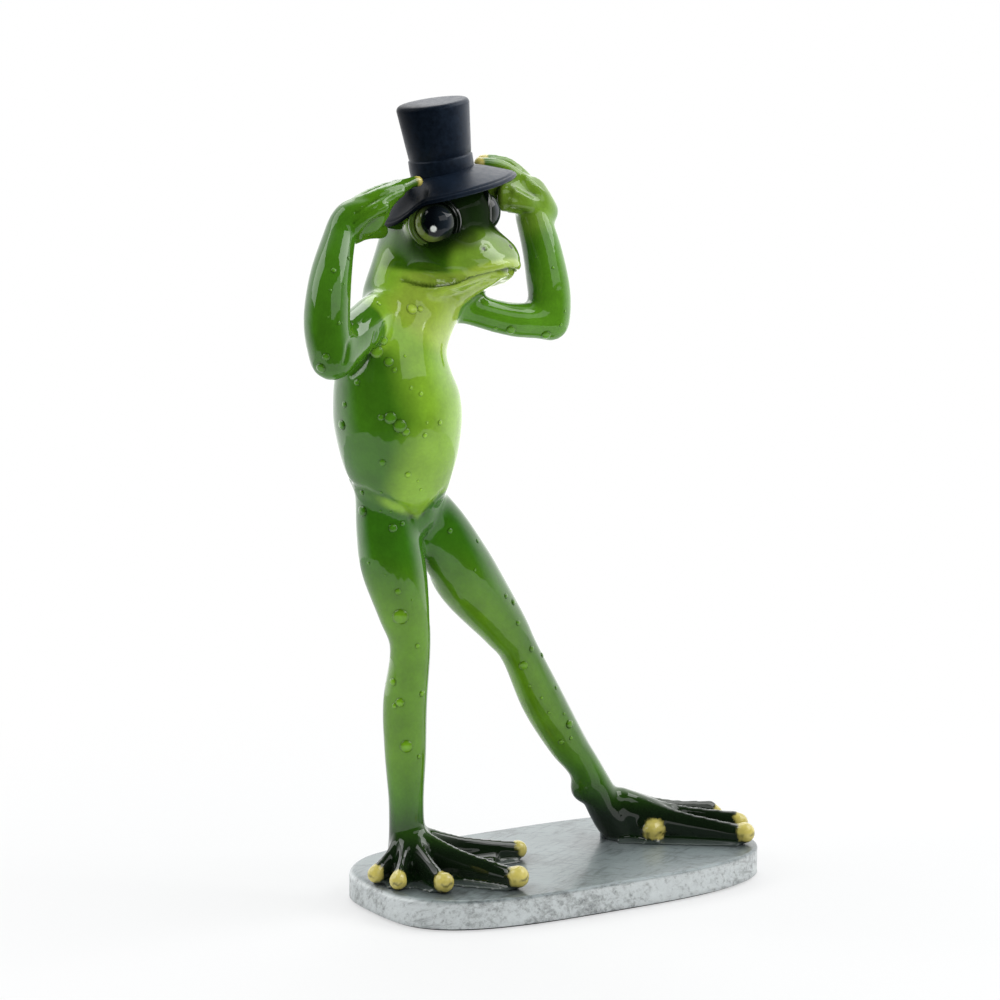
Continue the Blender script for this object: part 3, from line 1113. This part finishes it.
# %% Base
def slab(length, width, low, high, edge_round):
    """P(k, t): outline |x/a|^p + |y/b|^p = 1 with p = 3.2, drawn in by o(k), at height z(k).

    k runs up from the underside over the wall and the rounded edge, and then in to the middle."""
    around = 360
    cos, sin = filled(np.linspace(0, 2 * np.pi, around, endpoint=False), 2 / 3.2)
    bend = edge_round * (1 + 1.6 * ramp(0.75, 1.0, -cos))
    a = np.linspace(0, math.pi / 2, 8)[:, None]
    sole, wall = np.full((1, around), low), np.linspace(.04, .96, 6)[:, None]
    drawn_in = [np.full((1, around), 3.0), np.full((1, around), 0.35), np.full((6, around), 0.0)]
    inset = np.vstack(drawn_in + [bend * (1 - np.cos(a))])
    z = np.vstack([sole, sole, low + (high - bend - low) * wall, high - bend + bend * np.sin(a)])
    shrink = np.linspace(1, 0.02, 90)[1:, None]
    x = (length / 2 - inset) * cos
    y = (width / 2 - inset) * sin
    x, y = np.vstack([x, x[-1] * shrink]), np.vstack([y, y[-1] * shrink])
    z = np.vstack([z, np.repeat(z[-1:], len(shrink), 0)])
    return closed_grid(np.stack([x, y, z], -1))


FELT = 0.8
points, faces = slab(BASE_LENGTH, BASE_WIDTH, FELT, BASE_TOP, 0.9)
base = make_object("silver_base", points, faces)
toes = [[(*root, BASE_TOP), (*tip, BASE_TOP)] for root, tips, _, _ in feet for tip in tips]
toe_gap = np.min([line_distance(points, line) for line in toes], axis=0)
top = ramp(BASE_TOP - 1.2, BASE_TOP - 0.1, points[:, 2])
wash = over(coat("#d6dbdb", points), "#828d8e", top)
wash = over(wash, "#5d6566", top * ramp(10, 3.5, toe_gap) * .75)
wash = over(wash, "#7d8586", top * spot(points, (20, 4, BASE_TOP), 4, 16) * .7)
give_paint(base, wash)
print("base:", len(faces), "faces")

# %% [markdown]
# ## Silver paint under a dark wash
# The base was painted silver, and a thin dark wash was wiped over it, which stayed in
# the brush marks and round the feet. Two noises, each stretched along its own direction,
# stand for brush strokes that cross. The darker of the two wins, as it does in a wash.

# %% Base's finish
FIRST_STROKE = (15 * MM, 1.6 * MM, 2.0 * MM)
SECOND_STROKE = (13 * MM, 1.4 * MM, 2.1 * MM)
PATCH_MM = 14
# Washed silver paint: aluminium-pigment paint brushed on, then a thin black wash wiped off.
# It gives a pale, slightly metallic grey with dark streaks left in the brush marks.
silver, tree, shader = new_material(
    "washed_silver_paint", Metallic=0.2, Roughness=0.42, Specular_IOR_Level=0.35,
    Coat_Weight=0.25, Coat_Roughness=0.12)
where = node(tree, "ShaderNodeTexCoord").outputs["Object"]
painted = node(tree, "ShaderNodeAttribute", {"attribute_name": "paint"}).outputs["Color"]
strokes = []
for turn, stroke in (((0.3, 0.2, 0.5), FIRST_STROKE), ((0.5, -0.3, -0.9), SECOND_STROKE)):
    along = node(
        tree, "ShaderNodeMapping", {"vector_type": "TEXTURE"},
        Vector=where, Rotation=turn, Scale=stroke).outputs[0]
    strokes.append(node(tree, "ShaderNodeTexNoise", Vector=along, Scale=1.0, Detail=6.0, Roughness=0.72))
least = node(
    tree, "ShaderNodeMath", {"operation": "MINIMUM"},
    i0=strokes[0].outputs["Fac"], i1=strokes[1].outputs["Fac"]).outputs[0]
patch = node(tree, "ShaderNodeTexNoise", Vector=where, Scale=1 / (PATCH_MM * MM), Detail=2.0).outputs["Fac"]
shift = node(
    tree, "ShaderNodeMapRange", Value=patch, From_Min=0.3, From_Max=0.7, To_Min=-0.09, To_Max=0.07).outputs[0]
wiped = node(tree, "ShaderNodeMath", {"operation": "ADD"}, i0=least, i1=shift).outputs[0]
tone = node(tree, "ShaderNodeValToRGB", Fac=wiped)
stops(tone, (0.26, 0.28), (0.37, 0.56), (0.48, 0.88), (0.64, 1.0))
worn = node(
    tree, "ShaderNodeVectorMath", {"operation": "MULTIPLY"}, i0=painted, i1=tone.outputs[0]).outputs[0]
tree.links.new(worn, shader.inputs["Base Color"])
bump = node(tree, "ShaderNodeBump", Strength=0.3, Distance=0.2 * MM, Height=wiped).outputs[0]
tree.links.new(bump, shader.inputs["Normal"])
base.data.materials.append(silver)
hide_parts("base_plate")
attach(base, "root")
print("material", silver.name)

# %% [markdown]
# ## Felt, wires and pins
# The felt sole and the armature keep their shapes from the solid model and only get
# their materials. They hardly show, but they are there when the frog is turned over.

# %% Carried-over parts
FIBRE_MM = 0.8
DRAWN_MM = 0.6
# Pressed wool felt: wool fibres matted with steam and pressure. It gives a dull dark grey.
felt, tree, shader = new_material("pressed_wool_felt", Roughness=0.95, Sheen_Weight=0.3)
where = node(tree, "ShaderNodeTexCoord").outputs["Object"]
fibre = node(tree, "ShaderNodeTexNoise", Vector=where, Scale=1 / (FIBRE_MM * MM), Detail=4.0).outputs["Fac"]
tone = node(tree, "ShaderNodeValToRGB", Fac=fibre)
stops(tone, (0.3, linear("#1d1f20")), (0.7, linear("#35383a")))
tree.links.new(tone.outputs[0], shader.inputs["Base Color"])
# Drawn steel wire: rod pulled through a die. It gives a bright grey metal, faintly streaked.
wire, tree, shader = new_material("drawn_steel_wire", Metallic=1.0, Roughness=0.35)
where = node(tree, "ShaderNodeTexCoord").outputs["Object"]
drawn = node(tree, "ShaderNodeTexNoise", Vector=where, Scale=1 / (DRAWN_MM * MM), Detail=3.0).outputs["Fac"]
tone = node(tree, "ShaderNodeValToRGB", Fac=drawn)
stops(tone, (0.3, linear("#8b8f92")), (0.7, linear("#b9bcbf")))
tree.links.new(tone.outputs[0], shader.inputs["Base Color"])
for name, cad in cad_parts.items():
    if name == "base_felt" or name.endswith(("wire", "pin")):
        for slot in cad.material_slots:
            slot.material = felt if name == "base_felt" else wire
print("dressed felt, wires and pins")

# %% [markdown]
# ## The floor
# A white table that is plain white far away and takes the frog's shadow near it. The
# camera sees it fade to pure white. The varnish mirrors it too, and there the floor ends
# in a ragged dark edge in front of the frog, as a table does in a dim room.

# %% Floor
FLOOR_RADIUS = 420.0
FLOOR_SIDES = 96
angle = np.linspace(0, 2 * np.pi, FLOOR_SIDES + 1)[:-1]
disc = np.stack([np.cos(angle), np.sin(angle), 0 * angle], -1) * FLOOR_RADIUS
floor = make_object("floor", disc, np.arange(FLOOR_SIDES)[None])
# White sweep paper: machine-made matt paper rolled out under the object. It gives a soft shadow.
paper, tree, shader = new_material("white_paper_floor", Roughness=0.9, Base_Color=(0.86, 0.86, 0.86, 1))
where = node(tree, "ShaderNodeTexCoord").outputs["Object"]
far = node(tree, "ShaderNodeVectorMath", {"operation": "LENGTH"}, i0=where).outputs["Value"]
smooth = {"interpolation_type": "SMOOTHSTEP"}
fade = node(tree, "ShaderNodeMapRange", smooth, Value=far, From_Min=0.10, From_Max=0.30).outputs[0]
ray = node(tree, "ShaderNodeLightPath").outputs
paler = node(tree, "ShaderNodeMapRange", Value=fade, To_Min=0.55, To_Max=1.0).outputs[0]
amount = node(tree, "ShaderNodeMath", {"operation": "MULTIPLY"}, i0=paler, i1=ray["Is Camera Ray"]).outputs[0]
toward = node(
    tree, "ShaderNodeVectorMath", {"operation": "DOT_PRODUCT"}, i0=where, i1=tuple(BACK)).outputs["Value"]
ragged = node(tree, "ShaderNodeTexNoise", Vector=where, Scale=1 / (110 * MM), Detail=1.0).outputs["Fac"]
table_edge = node(
    tree, "ShaderNodeMath", {"operation": "MULTIPLY_ADD"}, i0=ragged, i1=0.16, i2=toward).outputs[0]
past_edge = node(
    tree, "ShaderNodeMapRange", smooth, Value=table_edge, From_Min=0.36, From_Max=0.375).outputs[0]
dark = node(
    tree, "ShaderNodeMath", {"operation": "MULTIPLY"}, i0=past_edge, i1=ray["Is Glossy Ray"]).outputs[0]
light = node(tree, "ShaderNodeMapRange", Value=dark, To_Min=0.86, To_Max=0.03).outputs[0]
tree.links.new(light, shader.inputs["Base Color"])
white = node(tree, "ShaderNodeEmission", Color=(1, 1, 1, 1), Strength=1.0).outputs[0]
mix = node(tree, "ShaderNodeMixShader", i0=amount, i1=shader.outputs[0], i2=white).outputs[0]
tree.links.new(mix, tree.nodes["Material Output"].inputs["Surface"])
floor.data.materials.append(paper)
print("floor", 2 * FLOOR_RADIUS, "mm across")

# %% [markdown]
# ## The room
# The camera sees a white backdrop. What the varnish and the glass mirror is another
# matter: a room that is bright behind the frog and dark behind the camera, so that the
# mirrored light has a shape.

# %% World
world = bpy.data.worlds.new("white_room")
world.use_nodes = True
bpy.context.scene.world = world
tree = world.node_tree
tree.nodes["Background"].inputs["Color"].default_value = (0.95, 0.98, 1.0, 1)
tree.nodes["Background"].inputs["Strength"].default_value = 0.50
ray = node(tree, "ShaderNodeLightPath").outputs
camera_ray = ray["Is Camera Ray"]
toward = node(tree, "ShaderNodeTexCoord").outputs["Generated"]
front = node(
    tree, "ShaderNodeVectorMath", {"operation": "DOT_PRODUCT"}, i0=toward, i1=tuple(BACK)).outputs["Value"]
backdrop = node(
    tree, "ShaderNodeMapRange", smooth, Value=front,
    From_Min=0.45, From_Max=-0.45, To_Min=0.0, To_Max=1.8).outputs[0]
mirrored = node(
    tree, "ShaderNodeMath", {"operation": "MAXIMUM"},
    i0=ray["Is Glossy Ray"], i1=ray["Is Transmission Ray"]).outputs[0]
room = node(tree, "ShaderNodeMath", {"operation": "SUBTRACT"}, i0=backdrop, i1=camera_ray).outputs[0]
wall = node(tree, "ShaderNodeMath", {"operation": "MAXIMUM"}, i0=room, i1=camera_ray).outputs[0]
seen = node(tree, "ShaderNodeMath", {"operation": "MAXIMUM"}, i0=mirrored, i1=camera_ray).outputs[0]
bright = node(tree, "ShaderNodeBackground", Color=(1, 1, 1, 1), Strength=wall).outputs[0]
mix = node(tree, "ShaderNodeMixShader", i0=seen, i1=tree.nodes["Background"].outputs[0], i2=bright).outputs[0]
tree.links.new(mix, tree.nodes["World Output"].inputs["Surface"])
print("room nodes:", len(tree.nodes))


# %% [markdown]
# ## Softboxes
# Four softboxes stand round the frog: right, left, in front and behind. They are large,
# and their edges are what the eye reads as gloss on the varnish.

# %% Softboxes
def softbox(name, azimuth, elevation, reach, width, height, power, aim=(-0.02, 0, 0.13)):
    """Rectangular lamp on a sphere round the frog, turned to face it; azimuth 0 is in front of it."""
    a, e = math.radians(azimuth), math.radians(elevation)
    way = Vector((math.sin(a) * math.cos(e), -math.cos(a) * math.cos(e), math.sin(e)))
    data = bpy.data.lights.new(name, "AREA")
    data.shape = "RECTANGLE"
    data.size = width
    data.size_y = height
    data.energy = power
    lamp = bpy.data.objects.new(name, data)
    lamp.location = Vector(aim) + way * reach
    lamp.rotation_euler = way.to_track_quat("Z", "Y").to_euler()
    bpy.context.collection.objects.link(lamp)


softbox("right_softbox", 62, 44, 1.0, 0.70, 0.60, 4.6)
softbox("left_softbox", -114, 40, 1.0, 0.60, 0.65, 3.4)
softbox("front_softbox", 18, 28, 1.05, 0.90, 0.42, 1.6)
softbox("back_softbox", 160, 50, 1.0, 0.80, 0.50, 2.5)
bpy.context.scene.view_settings.view_transform = "Standard"
